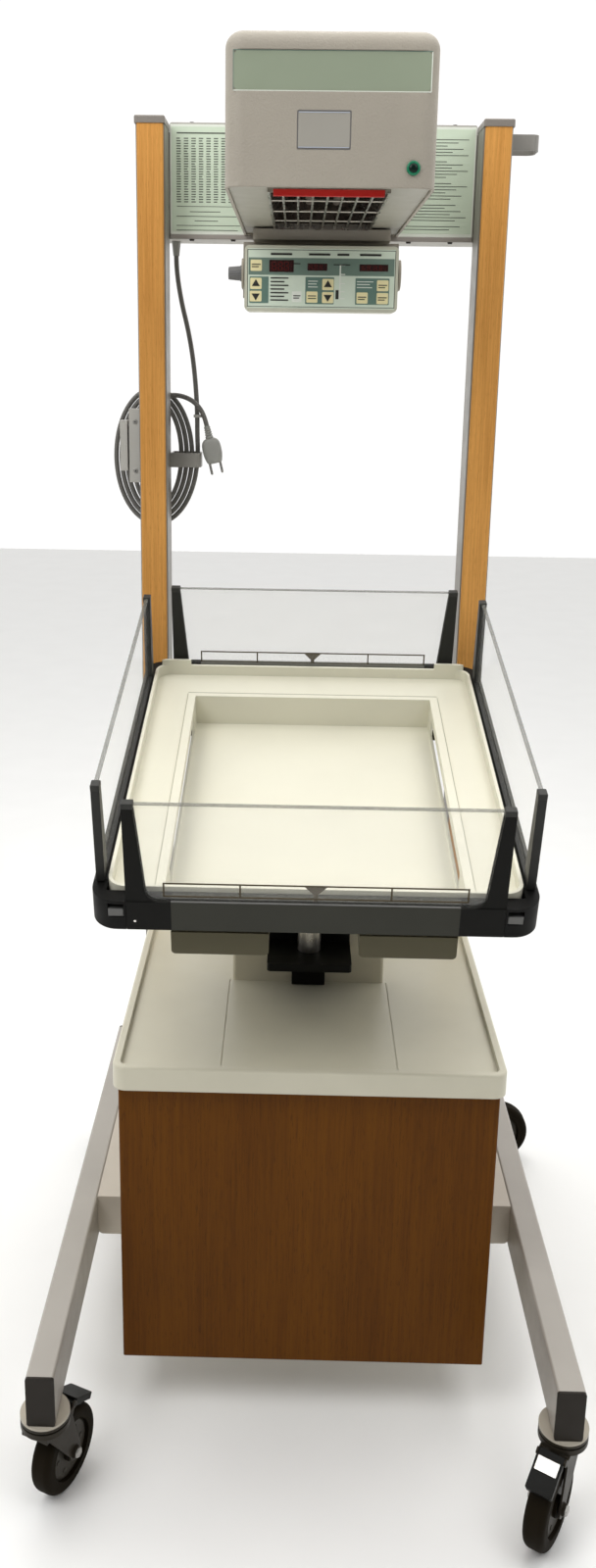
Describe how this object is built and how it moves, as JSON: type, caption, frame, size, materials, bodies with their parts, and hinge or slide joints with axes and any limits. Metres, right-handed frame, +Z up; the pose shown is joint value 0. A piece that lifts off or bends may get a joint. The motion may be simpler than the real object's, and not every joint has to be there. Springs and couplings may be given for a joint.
{
  "type": "infant radiant warmer",
  "caption": "Wheeled infant radiant warmer with cabinet, tilting bed with clear fold-down sides, two uprights, overhead heater head and control box.",
  "frame": {"origin": "on the floor in the plane of symmetry, half way between the front and rear caster swivels", "axes": "+Z up, +X to the right seen from the foot end of the bed, +Y towards the head end"},
  "size_m": [0.8697, 1.0465, 1.988],
  "materials": {
    "cream_moulding": "satin",
    "greige_enamel": "satin",
    "grey_steel": "satin",
    "upright_steel": "satin",
    "wood_laminate": "satin",
    "oak_strip": "satin",
    "white_board": "matte",
    "black_plastic": "matte",
    "charcoal_plastic": "matte",
    "grey_plastic": "matte",
    "bar_plastic": "satin",
    "clear_acrylic": "clear",
    "black_rubber": "matte",
    "nickel": "polished",
    "bright_aluminium": "brushed",
    "reflector_metal": "polished",
    "element_ceramic": "matte",
    "guard_wire": "polished",
    "panel_film": "satin",
    "board_green": "matte",
    "cord_grey": "matte",
    "tie_white": "matte",
    "pedestal_enamel": "satin"
  },
  "bodies": {
    "frame": {"actuator_tube": "bright_aluminium", "base_beam": "grey_steel", "bed_column": "upright_steel", "cabinet_carcass": "white_board", "cabinet_front_panel": "wood_laminate", "control_bracket": "greige_enamel", "cord_bracket": "greige_enamel", "cord_coil": "cord_grey", "cord_drop": "cord_grey", "cord_gland": "cord_grey", "cord_tail": "cord_grey", "cord_tie": "tie_white", "head_shell": "greige_enamel", "head_underpan": "greige_enamel", "header_cover": "grey_steel", "header_housing": "upright_steel", "heater_element": "element_ceramic", "heater_reflector": "reflector_metal", "leg_end_plugs": "charcoal_plastic", "leg_tubes": "grey_steel", "mains_plug": "cord_grey", "pedestal_cover": "pedestal_enamel", "power_module": "charcoal_plastic", "rail_hooks": "grey_plastic", "shelf_top": "cream_moulding", "tilt_bracket": "black_plastic", "upright_caps": "charcoal_plastic", "upright_wood_strips": "oak_strip", "uprights": "upright_steel", "wire_guard": "guard_wire"},
    "caster_front_left": {"caster_fork_front_left": "nickel"},
    "wheel_front_left": {"caster_wheel_front_left": "black_rubber"},
    "caster_front_right": {"caster_fork_front_right": "nickel"},
    "wheel_front_right": {"caster_wheel_front_right": "black_rubber"},
    "caster_rear_left": {"caster_fork_rear_left": "nickel"},
    "wheel_rear_left": {"caster_wheel_rear_left": "black_rubber"},
    "caster_rear_right": {"caster_fork_rear_right": "nickel"},
    "wheel_rear_right": {"caster_wheel_rear_right": "black_rubber"},
    "pedal_front_left": {"brake_pedal_front_left": "black_plastic"},
    "pedal_front_right": {"brake_pedal_front_right": "black_plastic"},
    "control_box": {"control_case": "greige_enamel", "control_panel": "panel_film", "circuit_board": "board_green"},
    "knob": {"tilt_knob": "charcoal_plastic"},
    "lower_drawer": {"drawer_lower": "wood_laminate"},
    "upper_drawer": {"drawer_upper": "wood_laminate"},
    "bed": {"bed_chassis": "greige_enamel", "bed_corner_blocks": "black_plastic", "bed_tray": "cream_moulding"},
    "tilt_rod": {"actuator_rod": "bright_aluminium"},
    "front_panel": {"front_panel_frame": "bar_plastic", "front_panel_glass": "clear_acrylic"},
    "left_panel": {"left_panel_frame": "bar_plastic", "left_panel_glass": "clear_acrylic"},
    "right_panel": {"right_panel_frame": "bar_plastic", "right_panel_glass": "clear_acrylic"},
    "rear_panel": {"rear_panel_frame": "bar_plastic", "rear_panel_glass": "clear_acrylic"},
    "release_left": {"latch_left": "grey_plastic"},
    "release_right": {"latch_right": "grey_plastic"}
  },
  "joints": [
    {"name": "swivel_front_left", "type": "hinge", "parent": "frame", "child": "caster_front_left", "pos_m": [-0.366, -0.426, 0.15], "axis": [0, 0, 1], "continuous": true},
    {"name": "roll_front_left", "type": "hinge", "parent": "caster_front_left", "child": "wheel_front_left", "pos_m": [-0.34973, -0.38946, 0.0625], "axis": [-0.9135, 0.4067, 0], "continuous": true},
    {"name": "brake_front_left", "type": "hinge", "parent": "caster_front_left", "child": "pedal_front_left", "pos_m": [-0.34851, -0.38672, 0.1427], "axis": [-0.9135, 0.4067, 0], "range_deg": [0, 6]},
    {"name": "swivel_front_right", "type": "hinge", "parent": "frame", "child": "caster_front_right", "pos_m": [0.366, -0.426, 0.15], "axis": [0, 0, 1], "continuous": true},
    {"name": "roll_front_right", "type": "hinge", "parent": "caster_front_right", "child": "wheel_front_right", "pos_m": [0.3448, -0.45992, 0.0625], "axis": [0.848, -0.5299, 0], "continuous": true},
    {"name": "brake_front_right", "type": "hinge", "parent": "caster_front_right", "child": "pedal_front_right", "pos_m": [0.34321, -0.46247, 0.1427], "axis": [0.848, -0.5299, 0], "range_deg": [0, 6]},
    {"name": "swivel_rear_left", "type": "hinge", "parent": "frame", "child": "caster_rear_left", "pos_m": [-0.366, 0.426, 0.15], "axis": [0, 0, 1], "continuous": true},
    {"name": "roll_rear_left", "type": "hinge", "parent": "caster_rear_left", "child": "wheel_rear_left", "pos_m": [-0.366, 0.466, 0.0625], "axis": [-1, 0, 0], "continuous": true},
    {"name": "swivel_rear_right", "type": "hinge", "parent": "frame", "child": "caster_rear_right", "pos_m": [0.366, 0.426, 0.15], "axis": [0, 0, 1], "continuous": true},
    {"name": "roll_rear_right", "type": "hinge", "parent": "caster_rear_right", "child": "wheel_rear_right", "pos_m": [0.40595, 0.42809, 0.0625], "axis": [-0.0523, 0.9986, 0], "continuous": true},
    {"name": "bed_tilt", "type": "hinge", "parent": "frame", "child": "bed", "pos_m": [0, 0.047, 0.9384], "axis": [-1, 0, 0], "range_deg": [0, 21]},
    {"name": "tilt_drive", "type": "slide", "parent": "frame", "child": "tilt_rod", "axis": [0, 0, 1], "range_m": [0, 0.0275]},
    {"name": "front_fold", "type": "hinge", "parent": "bed", "child": "front_panel", "pos_m": [0, -0.37743, 0.89994], "axis": [1, 0, 0], "range_deg": [0, 175]},
    {"name": "left_fold", "type": "hinge", "parent": "bed", "child": "left_panel", "pos_m": [-0.285, -0.04322, 0.9771], "axis": [0, -0.9744, -0.225], "range_deg": [0, 175]},
    {"name": "right_fold", "type": "hinge", "parent": "bed", "child": "right_panel", "pos_m": [0.285, -0.04322, 0.9771], "axis": [0, 0.9744, 0.225], "range_deg": [0, 175]},
    {"name": "rear_lift", "type": "slide", "parent": "bed", "child": "rear_panel", "axis": [0, -0.225, 0.9744], "range_m": [0, 0.16]},
    {"name": "release_left_slide", "type": "slide", "parent": "bed", "child": "release_left", "axis": [0, 0.9744, 0.225], "range_m": [0, 0.004], "stiffness_N_per_m": 300, "springref_m": -0.002},
    {"name": "release_right_slide", "type": "slide", "parent": "bed", "child": "release_right", "axis": [0, 0.9744, 0.225], "range_m": [0, 0.004], "stiffness_N_per_m": 300, "springref_m": -0.002},
    {"name": "lower_drawer_slide", "type": "slide", "parent": "frame", "child": "lower_drawer", "axis": [1, 0, 0], "range_m": [0, 0.36]},
    {"name": "upper_drawer_slide", "type": "slide", "parent": "frame", "child": "upper_drawer", "axis": [1, 0, 0], "range_m": [0, 0.36]},
    {"name": "control_tilt", "type": "hinge", "parent": "frame", "child": "control_box", "pos_m": [0, 0.3, 1.74], "axis": [1, 0, 0], "range_deg": [-18, 18]},
    {"name": "knob_turn", "type": "hinge", "parent": "frame", "child": "knob", "pos_m": [-0.14, 0.3, 1.74], "axis": [-1, 0, 0], "range_deg": [0, 270]}
  ],
  "couplings": [
    {"joint": "tilt_drive", "follows": "bed_tilt", "m_per_rad": 0.0717}
  ]
}
